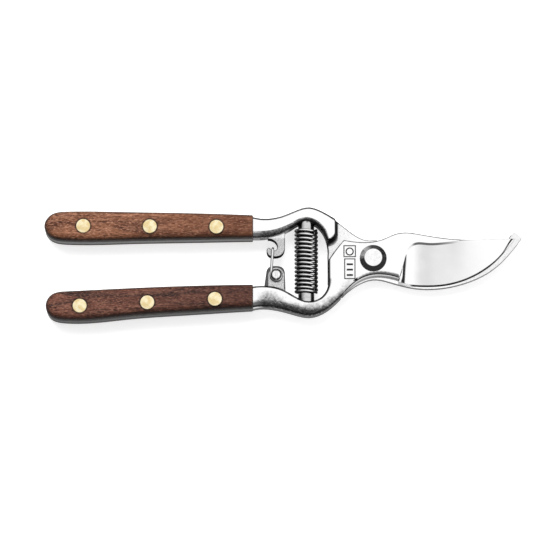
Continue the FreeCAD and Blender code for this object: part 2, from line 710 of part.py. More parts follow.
def make_pivot(doc):
    """Bolt with a conical head, a washer and a thin hexagon nut."""
    bolt = make_turned(doc, "pivot_bolt", [
        (0, "bolt_end"), ("thread", "bolt_end"), ("thread", "neck_low"), ("shank", "neck_low"),
        ("shank", "head_low"), ("head_base", "head_low"), ("head_base", "head_rim"),
        ("head_flat", "head_top"), (0, "head_top")])
    washer = make_turned(doc, "pivot_washer", [
        ("washer_bore", "nut_thick"), ("washer_outer", "nut_thick"), ("washer_outer", "neck_low"),
        ("washer_bore", "neck_low")])
    nut = add_body(doc, "pivot_nut")
    sketch = add_sketch(nut, "Hexagon")
    corner = SIZE["nut_flats"] / math.sqrt(3)
    corners = [(corner * math.cos(math.radians(60 * turn)), corner * math.sin(math.radians(60 * turn)))
               for turn in range(6)]
    draw(sketch, [[here, after] for here, after in zip(corners, corners[1:] + corners[:1])])
    pad(nut, sketch, "nut_thick")
    bore_holes(nut, [(0, 0)], "nut_bore", "Thread")
    round_edges(nut, "Crown", "end_round", lambda edge, at: lies_flat(edge, 0) and edge.Length > 4)
    return [bolt, washer, nut]


# ---------------------------------------------------------------- return spring

def make_studs(doc):
    """Domed studs that hold the spring's ends, one in each neck."""
    studs = []
    for side in ("hook", "cutting"):
        body = doc.addObject("PartDesign::Body", f"{side}_spring_stud")
        body.Label = f"{side}_spring_stud"
        body.setExpression("Placement.Base.x", "sizes.pivot_x + sizes.stud_x")
        body.setExpression("Placement.Base.y", "sizes.pivot_y")
        sketch = add_sketch(body, "Profile", level="mid_level")
        shoulder = f"{side}_stud_shoulder"
        draw_profile(sketch, [(0, f"{side}_dome"), ("stud_tip", f"{side}_dome"), ("stud", shoulder),
                              ("stud", f"{side}_seat"), ("stud_tenon", f"{side}_seat"),
                              ("stud_tenon", f"{side}_tenon_end"), (0, f"{side}_tenon_end")])
        turn(body, sketch)
        studs.append(body)
    return studs


def make_spring(doc):
    """Open-coiled compression spring between the two studs."""
    body = doc.addObject("PartDesign::Body", "return_spring")
    body.Label = "return_spring"
    body.Placement = Placement(Vector(0, 0, 0), Rotation(Vector(1, 0, 0), -90))
    body.setExpression("Placement.Base.x", "sizes.pivot_x + sizes.stud_x")
    body.setExpression("Placement.Base.y", "sizes.pivot_y + sizes.spring_low")
    body.setExpression("Placement.Base.z", "sizes.mid_level")
    sketch = add_sketch(body, "Wire", role="XZ_Plane")
    draw_circle(sketch, ("spring_radius", 0), "spring_wire")
    coils = body.newObject("PartDesign::AdditiveHelix", "Coils")
    coils.Profile = sketch
    coils.ReferenceAxis = (sketch, ["V_Axis"])
    coils.Mode = "height-turns-angle"
    coils.setExpression("Height", "sizes.spring_length")
    coils.setExpression("Turns", "sizes.spring_turns")
    doc.recompute()
    return body


# ---------------------------------------------------------------- catch

def make_catch_screw(doc):
    """Slotted screw that the wire catch swings on."""
    screw = make_turned(doc, "catch_screw", [
        (0, "screw_end"), ("screw_shank", "screw_end"), ("screw_shank", "screw_head_low"),
        ("screw_head", "screw_head_low"), ("screw_head", "screw_head_rim"),
        ("screw_crown", "screw_head_top"), (0, "screw_head_top")])
    screw.setExpression("Placement.Base.x", "sizes.pivot_x + sizes.screw_x")
    screw.setExpression("Placement.Base.y", "sizes.pivot_y + sizes.screw_y")
    slot = add_sketch(screw, "Slot", level="screw_head_top")
    half = SIZE["slot_wide"] / 2
    reach = SIZE["screw_head"] + 1
    draw_rectangle(slot, -half, -reach, half, reach)
    cut(screw, slot, "slot_deep")
    return screw


def make_catch_wire(doc):
    """Spring-wire catch: an eye round the screw, a straight arm, and a leg bent down into the keeper."""
    eye = Vector(SIZE["screw_x"], SIZE["screw_y"], WIRE_LEVEL)
    leg = Vector(*THROAT_LEG, WIRE_LEVEL)
    reach = math.dist(eye, leg)
    toward = math.atan2(leg.y - eye.y, leg.x - eye.x)
    # The arm leaves the eye along a tangent, on the eye's left.
    start_angle = toward + math.acos(EYE_RADIUS / reach)
    end_angle = start_angle + math.radians(EYE_SWEEP)
    on_eye = [eye + Vector(math.cos(a), math.sin(a), 0) * EYE_RADIUS
              for a in (end_angle, (start_angle + end_angle) / 2, start_angle)]
    arm = (leg - on_eye[2]).normalize()
    bend_start = leg - arm * LEG_BEND
    bend_end = leg - Vector(0, 0, LEG_BEND)
    bend_middle = leg - arm * LEG_BEND - Vector(0, 0, LEG_BEND)
    bend_middle += (arm + Vector(0, 0, 1)).normalize() * LEG_BEND
    path = Part.Wire([
        Part.Arc(*on_eye).toShape(),
        Part.LineSegment(on_eye[2], bend_start).toShape(),
        Part.Arc(bend_start, bend_middle, bend_end).toShape(),
        Part.LineSegment(bend_end, Vector(leg.x, leg.y, LEG_END)).toShape(),
    ])
    along = Vector(-math.sin(end_angle), math.cos(end_angle), 0)
    section = Part.Wire([Part.Circle(on_eye[0], along, WIRE_RADIUS).toShape()])
    wire = doc.addObject("Part::Feature", "catch_wire")
    wire.Label = "catch_wire"
    wire.Shape = path.makePipeShell([section], True, False)
    wire.setExpression("Placement.Base.x", "sizes.pivot_x")
    wire.setExpression("Placement.Base.y", "sizes.pivot_y")
    return wire


def make_parts(doc):
    """Every sub-part, in the order in which the tool goes together."""
    parts = [make_hook_lever(doc), make_cutting_lever(doc)]
    for side in ("hook", "cutting"):
        parts += [make_scale(doc, side, face) for face in ("front", "back")]
        parts += make_rivets(doc, side)
    parts += make_pivot(doc)
    parts += make_studs(doc)
    parts.append(make_spring(doc))
    parts += [make_catch_screw(doc), make_catch_wire(doc)]
    return parts


def main():
    doc = FreeCAD.newDocument("pruning_shears")
    write_sizes(doc)
    parts = make_parts(doc)
    doc.recompute()
    for thing in doc.Objects:
        if "Invalid" in thing.State or "Error" in thing.State:
            raise RuntimeError(f"{thing.Name} is {thing.State}")
    os.makedirs("parts", exist_ok=True)
    for part in parts:
        if part.Shape.isNull() or not part.Shape.isValid():
            raise RuntimeError(f"{part.Label} has no valid shape")
        part.Shape.exportStep(f"parts/{part.Label}.step")
        box = part.Shape.BoundBox
        print(f"{part.Label}: {part.Shape.Volume:.1f} mm3, solids {len(part.Shape.Solids)}, "
              f"x {box.XMin:.2f}..{box.XMax:.2f} y {box.YMin:.2f}..{box.YMax:.2f} "
              f"z {box.ZMin:.2f}..{box.ZMax:.2f}")


main()
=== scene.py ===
# %% [markdown]
# # Bypass pruning shears
#
# The tool is two forged levers that cross at a bolt: one ends in a blade, the other in a curved
# hook that the blade slides past. Each lever's tang is held between two wooden scales by three
# brass rivets, a coil spring pushes the handles apart, and a wire catch holds them shut.
#
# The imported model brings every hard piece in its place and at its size. What is left to do is to
# give each one the finish that a toolmaker would, and to wind the spring as real wire.

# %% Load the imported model
import math

import bpy
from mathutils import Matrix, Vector


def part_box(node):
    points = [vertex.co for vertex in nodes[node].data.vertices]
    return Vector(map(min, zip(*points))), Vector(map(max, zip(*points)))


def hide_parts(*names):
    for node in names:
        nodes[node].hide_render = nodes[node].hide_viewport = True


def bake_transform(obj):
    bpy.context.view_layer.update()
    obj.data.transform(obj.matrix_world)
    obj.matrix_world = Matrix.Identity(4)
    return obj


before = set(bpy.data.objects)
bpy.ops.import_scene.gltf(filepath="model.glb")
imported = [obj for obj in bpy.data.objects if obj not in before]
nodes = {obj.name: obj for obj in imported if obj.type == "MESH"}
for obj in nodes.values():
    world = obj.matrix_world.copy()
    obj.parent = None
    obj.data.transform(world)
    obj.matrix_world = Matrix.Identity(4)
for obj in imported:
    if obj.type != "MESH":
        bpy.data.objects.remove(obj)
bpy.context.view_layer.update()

# %% [markdown]
# ## Places on the tool
#
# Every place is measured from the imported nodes. The pivot is the middle of its bolt, the necks
# start where the wood ends, and the plate's flat top is the highest level of the blade's forging.
# Features of a forging that have no node of their own are given as distances from the pivot.

# %% Find the pivot, the necks and the main levels
MM = 0.001


def centre(node):
    """Middle of a node's box."""
    low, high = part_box(node)
    return (low + high) / 2


pivot = centre("pivot_bolt")
catch_screw = centre("catch_screw")
forging_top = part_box("cutting_lever")[1].z
wood_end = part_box("hook_scale_front")[1].x
print(f"pivot at {pivot.x / MM:.1f}, {pivot.y / MM:.1f} mm; forgings reach {forging_top / MM:.1f} mm")

# %% [markdown]
# ## Shader sums
#
# A finish is easier to read as arithmetic than as a list of links. A Signal wraps one socket, and
# the usual operators add the Math nodes, so `1 - mask` works as it does on a number. Colours and
# vectors must not go through a Math node, which keeps only their grey, so they have calls of their
# own. Every other node comes from one method: its kind, its settings, then its sockets.


# %% A socket that can be used in sums
class Signal:
    """A number, colour or vector on its way through a finish."""

    def __init__(self, bench, socket):
        self.bench = bench
        self.socket = socket

    def __add__(self, other):
        return self.bench.maths("ADD", self, other)

    def __sub__(self, other):
        return self.bench.maths("SUBTRACT", self, other)

    def __rsub__(self, other):
        return self.bench.maths("SUBTRACT", other, self)

    def __mul__(self, other):
        return self.bench.maths("MULTIPLY", self, other)

    def least(self, other):
        """The smaller of two values."""
        return self.bench.maths("MINIMUM", self, other)

    def most(self, other):
        """The larger of two values."""
        return self.bench.maths("MAXIMUM", self, other)

    def size(self):
        """The value without its sign."""
        return self.bench.maths("ABSOLUTE", self)

    def root(self):
        """The square root."""
        return self.bench.maths("SQRT", self)

    def wave(self):
        """The sine, which turns a growing value into ripples."""
        return self.bench.maths("SINE", self)

    def ramp(self, start, end, low=0.0, high=1.0):
        """Smooth step from low to high while this value goes from start to end."""
        return self.bench.node(
            "ShaderNodeMapRange",
            {"interpolation_type": "SMOOTHSTEP"},
            {"Value": self, "From Min": start, "From Max": end, "To Min": low, "To Max": high},
        )

    __radd__ = __add__
    __rmul__ = __mul__


# %% A bench that owns the nodes
class Bench:
    """A node tree, with helpers that add nodes to it."""

    def __init__(self, tree):
        self.tree = tree

    def node(self, kind, settings=None, sockets=None, output=0):
        """Any node: its type, its settings, and the values or links of its sockets."""
        made = self.tree.nodes.new(kind)
        for setting, value in (settings or {}).items():
            setattr(made, setting, value)
        for socket, value in (sockets or {}).items():
            self.feed(made.inputs[socket], value)
        return Signal(self, made.outputs[output])

    def feed(self, socket, value):
        """A link when the value is a Signal, and the socket's own value when it isn't."""
        if isinstance(value, Signal):
            self.tree.links.new(value.socket, socket)
        else:
            socket.default_value = value

    def maths(self, operation, *terms):
        """A Math node on one or two numbers."""
        return self.node("ShaderNodeMath", {"operation": operation}, dict(enumerate(terms)))

    def vectors(self, operation, *terms, output=0):
        """A Vector Math node; its output 0 is a vector, its output 1 a number."""
        return self.node("ShaderNodeVectorMath", {"operation": operation}, dict(enumerate(terms)), output)

    def part_of(self, vector, axis):
        """One of the three numbers of a vector."""
        return self.node("ShaderNodeSeparateXYZ", None, {"Vector": vector}, axis)

    def mix(self, factor, first, second):
        """Two colours mixed by a factor."""
        return self.node("ShaderNodeMix", {"data_type": "RGBA"}, {0: factor, 6: first, 7: second}, output=2)


# %% [markdown]
# A finish has to stay on its piece when the tool opens. So every pattern is drawn in the piece's
# own frame, which the Texture Coordinate node gives as Object (the place) and Normal (the way the
# surface faces). At rest those are the tool's own metres and directions.


# %% A finish on top of it
class Finish(Bench):
    """A material whose shader is one Principled BSDF."""

    def __init__(self, name, **constants):
        self.material = bpy.data.materials.new(name)
        self.material.use_nodes = True
        super().__init__(self.material.node_tree)
        self.surface(**constants)

    def surface(self, **sockets):
        """Set or feed the shader's sockets, and hand the material back."""
        shader = self.tree.nodes["Principled BSDF"]
        for socket, value in sockets.items():
            self.feed(shader.inputs[socket.replace("_", " ")], value)
        return self.material

    def place(self):
        """Place on the piece, in metres."""
        return self.node("ShaderNodeTexCoord", output="Object")

    def facing(self):
        """The way that the surface faces."""
        return self.node("ShaderNodeTexCoord", output="Normal")

    def at(self, axis):
        """Place along one axis, in metres."""
        return self.part_of(self.place(), axis)

    def leans(self, axis):
        """How much the surface faces along one axis, from -1 to 1."""
        return self.part_of(self.facing(), axis)

    def out_from(self, point):
        """How far a place is from the upright line through a point."""
        flat_place = self.stretch(self.place(), (1.0, 1.0, 0.0))
        return self.vectors("DISTANCE", flat_place, (point.x, point.y, 0.0), output=1)

    def stretch(self, vector, factors):
        """A vector times three factors, in waves per metre; a pattern runs along the smallest."""
        return self.vectors("MULTIPLY", vector, factors)

    def shift(self, vector, offset):
        """A vector plus another."""
        return self.vectors("ADD", vector, offset)

    def turned(self, vector, degrees):
        """A vector turned about the upright axis, so that streaks can run at a slant."""
        return self.node(
            "ShaderNodeVectorRotate",
            {"rotation_type": "Z_AXIS"},
            {"Vector": vector, "Angle": math.radians(degrees)},
        )

    def noise(self, vector, scale=1.0, detail=2.0, roughness=0.5, distortion=0.0):
        """Soft random value around a half."""
        return self.node(
            "ShaderNodeTexNoise",
            None,
            {"Vector": vector, "Scale": scale, "Detail": detail, "Roughness": roughness,
             "Distortion": distortion},
        )

    def edges(self, radius):
        """Sharp edges of a piece: where one rounded to a radius would face another way."""
        rounded = self.node("ShaderNodeBevel", {"samples": 6}, {"Radius": radius})
        facing = self.node("ShaderNodeNewGeometry", output="Normal")
        return self.vectors("DOT_PRODUCT", rounded, facing, output=1).ramp(0.97, 0.78)

    def bump(self, height, depth):
        """Surface direction that a height makes; depth is what a height of 1 stands for, in metres."""
        return self.node("ShaderNodeBump", None, {"Height": height, "Distance": depth, "Strength": 1.0})


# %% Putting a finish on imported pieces
def grey(value):
    """Neutral colour of one brightness."""
    return (value, value, value, 1.0)


def between(value, low, high, soft):
    """1 from low to high, fading out over a soft margin on both sides."""
    return value.ramp(low - soft, low) * value.ramp(high + soft, high)


def dress(material, *names):
    """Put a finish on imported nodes."""
    for name in names:
        slots = nodes[name].data.materials
        slots.clear()
        slots.append(material)
    print(f"{material.name}: {', '.join(names)}")


# %% [markdown]
# ## Forged and buffed steel
#
# The levers are drop forgings. The flat faces and the upper side of the necks are buffed bright.
# The wheel only brushes over the outer side of the lower neck, which sits in the palm, and over
# the side of the upper neck that turns towards the spring, so the forging skin stays there:
# darker (painted shade, where the crowned necks turn away from the light), grainy, and crossed by
# short scratches. The wheel can't reach the low lap face beside the step, nor the catch lugs,
# which stay satin.
#
# One finish can hold all of this, because the surface itself says where it is. Its height tells
# the lap face and the lugs from the buffed top, and its place and facing tell the sides of a neck.
# Each function below gives 1 on one such place and 0 elsewhere.

# %% Where the necks keep forging skin and get painted shade
NECK_BEND = pivot + Vector((-29.4, -1.3, 0)) * MM
NECK_BEND_RADIUS = 20.4 * MM
STRAIGHT_NECK = pivot.y - 16.6 * MM


def along_neck(finish):
    """A neck's top, from the wood to where the plate begins."""
    x = finish.at("X")
    neck = x.ramp(wood_end + 1 * MM, wood_end + 5 * MM) * x.ramp(pivot.x - 8 * MM, pivot.x - 15 * MM)
    return neck * finish.leans("Z").ramp(0.02, 0.20)


def window_side(finish):
    """Side of the hook's neck that turns towards the spring, where it leans far enough: painted shade with
    forging skin.
    """
    patchy = finish.noise(finish.place(), scale=420.0, detail=3.0)
    leaning = (patchy - 0.5) * 0.22 - finish.leans("Y")
    return leaning.ramp(0.03, 0.19) * along_neck(finish)


def palm_side(finish):
    """Outer half of the cutting lever's neck, straight beside the wood, then round the spring: painted
    shade with forging skin.
    """
    beside_wood = STRAIGHT_NECK - finish.at("Y")
    round_spring = finish.out_from(NECK_BEND) - NECK_BEND_RADIUS
    bent = finish.at("X").ramp(pivot.x - 46 * MM, pivot.x - 40 * MM)
    outward = beside_wood * (1 - bent) + round_spring * bent
    patchy = finish.noise(finish.place(), scale=350.0, detail=3.0)
    outer = (outward + (patchy - 0.5) * (5 * MM)).ramp(-2.2 * MM, 1.6 * MM)
    low_enough = finish.at("Y").ramp(pivot.y - 5 * MM, pivot.y - 11 * MM)
    return outer * low_enough * along_neck(finish)


print(f"lower neck bends round {NECK_BEND.x / MM:.1f}, {NECK_BEND.y / MM:.1f} mm")

# %% Painted shade in the window and on the tang, and the satin faces
def inside_window(finish):
    """Rounded edges that face the spring, and the step beside the lap: unbuffed recesses that get painted
    shade.
    """
    window = between(finish.at("X"), pivot.x - 36 * MM, pivot.x - 15.5 * MM, 2 * MM)
    across = (finish.at("Y") - pivot.y - finish.leans("X") * (3 * MM)).size()
    return window * across.ramp(18.5 * MM, 17 * MM) * finish.leans("Z").ramp(0.97, 0.80)


def tang_edge_shade(finish):
    """Edges of the tang beside the wood, where its side walls get a thin line of painted shade."""
    return finish.at("X").ramp(wood_end + 0.3 * MM, wood_end) * finish.leans("Z").size().ramp(0.7, 0.4)


def satin_faces(finish):
    """Lap face behind the pivot, and the hook's face beyond the blade's belly."""
    low_face = finish.at("Z").ramp(forging_top - 2.0 * MM, forging_top - 2.6 * MM)
    return low_face * (finish.at("X") - pivot.x - 13 * MM).size().ramp(17 * MM, 30 * MM)


def nowhere(finish):
    """For a lever that hasn't got such a place."""
    return 0.0


# %% Keeper and ear of the catch
LUG_TOP = 9.05 * MM
EAR_HALF = 4.1 * MM


def catch_lugs(finish):
    """Keeper and ear of the catch, which stand between the necks, below their tops."""
    across = between(finish.at("X"), pivot.x - 49 * MM, pivot.x - 37.5 * MM, 1 * MM)
    between_necks = between(finish.at("Y"), pivot.y - 14 * MM, pivot.y + 9 * MM, 1 * MM)
    return across * between_necks * finish.at("Z").ramp(LUG_TOP + 0.1 * MM, LUG_TOP)


def ear_rim_shade(finish):
    """Painted shade along the ear's rim: round above its screw, straight down both sides."""
    aside = finish.at("X") - catch_screw.x
    above = (finish.at("Y") - catch_screw.y).most(0.0)
    out = (aside * aside + above * above).root()
    rim = between(out, EAR_HALF - 0.55 * MM, EAR_HALF + 1 * MM, 0.25 * MM)
    return rim * between(finish.at("Y"), catch_screw.y - 6 * MM, catch_screw.y + 6 * MM, 0.5 * MM)


print(f"ear round {catch_screw.x / MM:.1f}, {catch_screw.y / MM:.1f} mm, {2 * EAR_HALF / MM:.1f} mm wide")

# %% [markdown]
# The blade's plate carries two shallow engraved frames, etched dark so that they still read after
# buffing. They are the only hollows on that part of the plate, so a small drop below its top is
# enough to find them.

# %% Where the plate's frames are etched
ETCHED_LOW = pivot + Vector((-13.6, -9.9, 0)) * MM
ETCHED_HIGH = pivot + Vector((-7.0, 6.4, 0)) * MM


def etched_frames(finish):
    """The plate's engraved lines."""
    hollow = finish.at("Z").ramp(forging_top - 0.03 * MM, forging_top - 0.09 * MM)
    across = between(finish.at("X"), ETCHED_LOW.x, ETCHED_HIGH.x, 0.2 * MM)
    along = between(finish.at("Y"), ETCHED_LOW.y, ETCHED_HIGH.y, 0.2 * MM)
    return hollow * across * along


print(f"frames from {ETCHED_LOW.x / MM:.1f} to {ETCHED_HIGH.x / MM:.1f} mm along the tool")

# %% [markdown]
# Bright steel is a metal with a high, neutral colour. Skin and satin each mix in a darker grey and
# more roughness, and the skin's darker grey is also painted shade where a neck turns away from the
# light. Painted shade darkens the rounded edges that lean to the back, the sides of the lugs and
# the tang, the ear's rim and the window's recesses, and a painted dark line runs along sharp edges
# as a painted reflection of the dark room. Grain and scratches are also a height, so that they
# break up the reflections as real grain does. The rim tint dims what the steel mirrors at a
# glancing angle, which draws the thin dark line that handled steel shows along its outline.

# %% The forging finish
RIM_TINT = grey(0.35)
BUFFED = grey(0.93)
SCRATCHED = grey(0.70)
SATIN = grey(0.40)
TANG_EDGE_SHADE = grey(0.22)
SKIN_AND_SHADE = grey(0.14)
SHADED_SIDE = grey(0.10)
BACK_EDGE_SHADE = grey(0.08)
PAINTED_EDGE_LINE = grey(0.05)
ETCHED_BLACK_AND_SHADE = grey(0.02)


def short_scratches(finish, degrees, fineness):
    """Fine straight lines at a slant."""
    lines = finish.stretch(finish.turned(finish.place(), degrees), (230.0, fineness, fineness))
    return finish.noise(lines, detail=1.0, roughness=0.4).ramp(0.56, 0.72)


def forged_steel(name, skin_and_shade_where, satin_where, etched_where, lug_tone):
    """Buffed forging with its skin, satin and etched places, and painted shade on its edges, sides and
    recesses.
    """
    finish = Finish(name, Metallic=1.0, Specular_Tint=RIM_TINT)
    place = finish.place()
    skin_and_shade = skin_and_shade_where(finish)
    satin = satin_where(finish)
    lug = catch_lugs(finish)
    flatness = finish.leans("Z")
    roll = finish.noise(place, scale=130.0, detail=1.0)
    grain = finish.noise(place, scale=1900.0, detail=4.0, roughness=0.7)
    skin_grain = finish.noise(place, scale=900.0, detail=4.0, roughness=0.75)
    hairs = finish.noise(finish.stretch(place, (300.0, 7000.0, 7000.0)))
    scratches = (short_scratches(finish, 35, 1700.0) + short_scratches(finish, -50, 1500.0)).least(1.0)
    # painted shade on rounded edges that lean to the back
    back_edge_shade = flatness.ramp(0.92, 0.65) * finish.leans("Y").ramp(0.05, 0.35)

    # Skin places: forging grain with painted shade, where the necks turn away from the light.
    tone = finish.mix(skin_and_shade * skin_grain.ramp(0.25, 0.65, 0.55, 1.0), BUFFED, SKIN_AND_SHADE)
    tone = finish.mix(skin_and_shade * scratches * 0.35, tone, SCRATCHED)
    tone = finish.mix(satin * grain.ramp(0.40, 0.90), tone, SATIN)
    tone = finish.mix(lug * grain.ramp(0.20, 0.80), tone, grey(lug_tone))
    # painted shade on the lugs' sides and along the ear's rim
    tone = finish.mix(lug * flatness.ramp(0.99, 0.88), tone, ETCHED_BLACK_AND_SHADE)
    tone = finish.mix(lug * ear_rim_shade(finish) * 0.85, tone, ETCHED_BLACK_AND_SHADE)
    # painted shade on the tang's side walls
    tone = finish.mix(tang_edge_shade(finish) * 0.35, tone, TANG_EDGE_SHADE)
    # painted shade in the window's recesses
    tone = finish.mix(inside_window(finish), tone, SHADED_SIDE)
    # painted dark line along sharp edges, a painted reflection of the dark room
    tone = finish.mix(finish.edges(0.5 * MM) * 0.85, tone, PAINTED_EDGE_LINE)
    tone = finish.mix(back_edge_shade * 0.75, tone, BACK_EDGE_SHADE)
    tone = finish.mix(etched_where(finish), tone, ETCHED_BLACK_AND_SHADE)
    rough = 0.09 + hairs * 0.05 + skin_and_shade * (0.05 + skin_grain * 0.12) + (satin + lug) * 0.18
    height = roll * 0.45 + skin_and_shade * (skin_grain * 0.55 + scratches * 0.30) + (satin + lug) * grain * 0.12
    return finish.surface(Base_Color=tone, Roughness=rough, Normal=finish.bump(height, 0.1 * MM))


dress(forged_steel("hook_forging", window_side, satin_faces, nowhere, 0.45), "hook_lever")
dress(forged_steel("cutting_forging", palm_side, nowhere, etched_frames, 0.24), "cutting_lever")

# %% [markdown]
# ## Handle wood
#
# The scales are a dense reddish-brown wood, oiled rather than varnished, with its grain along the
# handle. The grain is noise drawn out along x: broad figure for the patches, streaks for the
# lines, light flecks, and short dark dashes for the open pores, which are also pressed into the
# surface. The rounded edges get painted shade, a little more on the lower side; the wood is darker
# towards the end by the neck, and a dark ring runs round each rivet.
#
# The two handles come from different boards, so the second is darker and redder.

# %% Handle wood
DARKER_END_LENGTH = 75 * MM
RING_OUTSIDE = 4.1 * MM
RING_INSIDE = 3.2 * MM
EDGE_SHADE_AND_RING = (0.012, 0.006, 0.004, 1.0)


def handle_wood(name, side, board, dark, middle, light):
    """Wood of one handle; board is a shift, in metres, that takes its figure from another place."""
    finish = Finish(name, Specular_IOR_Level=0.3)
    place = finish.shift(finish.place(), (board, board, 0.0))
    broad = finish.stretch(place, (26.0, 170.0, 170.0))
    narrow = finish.stretch(place, (90.0, 1100.0, 1100.0))
    short = finish.stretch(place, (750.0, 2300.0, 2300.0))
    dashes = finish.stretch(place, (420.0, 3400.0, 3400.0))
    figure = finish.noise(broad, detail=4.0, roughness=0.6, distortion=0.8)
    streaks = finish.noise(narrow, detail=3.0, roughness=0.65, distortion=0.3)
    flecks = finish.noise(short, roughness=0.6)
    pore = finish.noise(dashes, detail=1.0).ramp(0.53, 0.64)
    pore_dark = (dark[0] * 0.3, dark[1] * 0.3, dark[2] * 0.3, 1.0)
    tone = finish.mix(figure.ramp(0.38, 0.58), dark, middle)
    tone = finish.mix(streaks.ramp(0.46, 0.70) * 0.42, tone, light)
    tone = finish.mix(flecks.ramp(0.48, 0.70) * 0.70, tone, light)
    tone = finish.mix(pore * 0.75, tone, pore_dark)

    # darker towards the end by the neck
    toward_neck_end = finish.at("X").ramp(wood_end - DARKER_END_LENGTH, wood_end)
    tone = finish.mix(toward_neck_end * 0.45, tone, dark)
    rivets = [finish.out_from(centre(f"{side}_rivet_pin_{number}")) for number in (1, 2, 3)]
    ring = rivets[0].least(rivets[1]).least(rivets[2]).ramp(RING_OUTSIDE, RING_INSIDE)
    # painted shade on the rounded edges, a little more on the lower side; the rivet ring is a dark joint
    lower_edge = (0 - finish.leans("Y")).ramp(0.15, 0.80)
    edge_shade = finish.leans("Z").size().ramp(0.94, 0.40) * (0.80 + lower_edge * 0.02)
    tone = finish.mix(edge_shade + ring * 0.8, tone, EDGE_SHADE_AND_RING)
    rough = 0.42 + streaks * 0.14 + pore * 0.2
    height = streaks * 0.3 + flecks * 0.2 - pore * 0.8
    return finish.surface(Base_Color=tone, Roughness=rough, Normal=finish.bump(height, 0.07 * MM))


hook_wood = handle_wood("hook_handle_wood", "hook", 0.013, dark=(0.070, 0.020, 0.009, 1.0),
                        middle=(0.190, 0.073, 0.036, 1.0), light=(0.480, 0.240, 0.150, 1.0))
cutting_wood = handle_wood("cutting_handle_wood", "cutting", 0.041, dark=(0.020, 0.008, 0.007, 1.0),
                           middle=(0.100, 0.034, 0.022, 1.0), light=(0.290, 0.135, 0.090, 1.0))
dress(hook_wood, "hook_scale_front", "hook_scale_back")
dress(cutting_wood, "cutting_scale_front", "cutting_scale_back")

# %% [markdown]
# ## Brass rivets
#
# Each rivet head was filed flush and then buffed with the wood, so it shows fine lines across it
# and a slightly cloudy gold. Brass is a metal, so its gold is the colour of what it reflects.

# %% Rivet brass
DULL_BRASS = (0.84, 0.66, 0.34, 1.0)
BRIGHT_BRASS = (0.96, 0.86, 0.58, 1.0)


def rivet_brass(name):
    """Buffed brass with file lines across it."""
    finish = Finish(name, Metallic=1.0)
    lines = finish.noise(finish.stretch(finish.turned(finish.place(), 25), (500.0, 6000.0, 500.0)))
    cloudy = finish.noise(finish.place(), scale=500.0)
    tone = finish.mix(cloudy.ramp(0.35, 0.65), DULL_BRASS, BRIGHT_BRASS)
    rough = 0.22 + lines * 0.14
    return finish.surface(Base_Color=tone, Roughness=rough, Normal=finish.bump(lines, 0.012 * MM))


dress(rivet_brass("rivet_brass"), *[f"{side}_rivet_{half}_{number}" for side in ("hook", "cutting")
                                    for half in ("pin", "socket") for number in (1, 2, 3)])

# %% [markdown]
# ## Turned steel
#
# The bolt and the screw were turned on a lathe, so they carry fine rings round their own axis.
# The rings are a wave of the distance from that axis. Their sloping and upright faces get a painted
# dark reflection of the room, sharp edges a painted dark line, and the screw's head a painted
# shadow round its rim.

# %% Turned steel
RING_PITCH = 0.5 * MM
SCREW_SHADOW_RIM = 1.55 * MM


def turned_steel(name, node, tone, rim=None):
    """Lathe-turned steel; rim is the distance from the axis where a painted shadow begins, if it does."""
    finish = Finish(name, Metallic=1.0, Specular_Tint=RIM_TINT)
    out = finish.out_from(centre(node))
    rings = (out * (2 * math.pi / RING_PITCH)).wave()
    specks = finish.noise(finish.place(), scale=900.0)
    colour = finish.mix(specks.ramp(0.3, 0.7), grey(tone), grey(tone * 0.9))
    # painted dark reflection on sloping and upright faces
    colour = finish.mix(finish.leans("Z").ramp(0.6, 0.2) * 0.85, colour, SHADED_SIDE)
    # painted dark line along sharp edges, a painted reflection of the dark room
    colour = finish.mix(finish.edges(0.25 * MM) * 0.8, colour, PAINTED_EDGE_LINE)
    if rim:
        # painted shadow round the screw's head
        colour = finish.mix(out.ramp(rim, rim + 0.3 * MM) * 0.85, colour, ETCHED_BLACK_AND_SHADE)
    rough = 0.11 + specks * 0.05
    return finish.surface(Base_Color=colour, Roughness=rough, Normal=finish.bump(rings, 0.0003 * MM))


dress(turned_steel("bolt_steel", "pivot_bolt", 0.93), "pivot_bolt", "pivot_washer", "pivot_nut")
dress(turned_steel("screw_steel", "catch_screw", 0.90, SCREW_SHADOW_RIM), "catch_screw")

# %% [markdown]
# ## Wire and studs
#
# The spring's wire gets a painted highlight only along the outside of its coils, where it also
# faces up, and painted shade everywhere else. That is worked out from the spring's own axis: the
# wire is bright where it faces away from that axis. The studs, which stand on the same axis, get
# the painted highlight in a narrower band. The catch gets a painted highlight on top and painted
# shade underneath, so its brightness follows how far it faces up.


# %% Spring wire and studs
def highlighted_steel(name, highlight_tone, painted_shade_tone, crest):
    """Steel with a painted highlight where it faces away from the spring's axis, from crest on, and faces
    up, and painted shade elsewhere.
    """
    finish = Finish(name, Metallic=1.0, Specular_Tint=RIM_TINT)
    from_axis = finish.stretch(finish.shift(finish.place(), -centre("return_spring")), (1.0, 0.0, 1.0))
    outward = finish.vectors("NORMALIZE", from_axis)
    facing_out = finish.vectors("DOT_PRODUCT", outward, finish.facing(), output=1)
    specks = finish.noise(finish.place(), scale=3000.0)
    cloudy = finish.noise(finish.place(), scale=450.0)
    # painted highlight on the outer crest facing up; the rest gets painted shade
    painted_highlight = (facing_out + (cloudy - 0.5) * 0.6).ramp(crest, 1.0) * finish.leans("Z").ramp(0.15, 0.70)
    colour = finish.mix(painted_highlight, grey(painted_shade_tone), grey(highlight_tone))
    rough = 0.12 + specks * 0.10
    return finish.surface(Base_Color=colour, Roughness=rough, Normal=finish.bump(specks, 0.008 * MM))


spring_steel = highlighted_steel("wire_steel", 0.93, 0.05, 0.40)
dress(highlighted_steel("stud_steel", 0.62, 0.06, 0.80), "hook_spring_stud", "cutting_spring_stud")


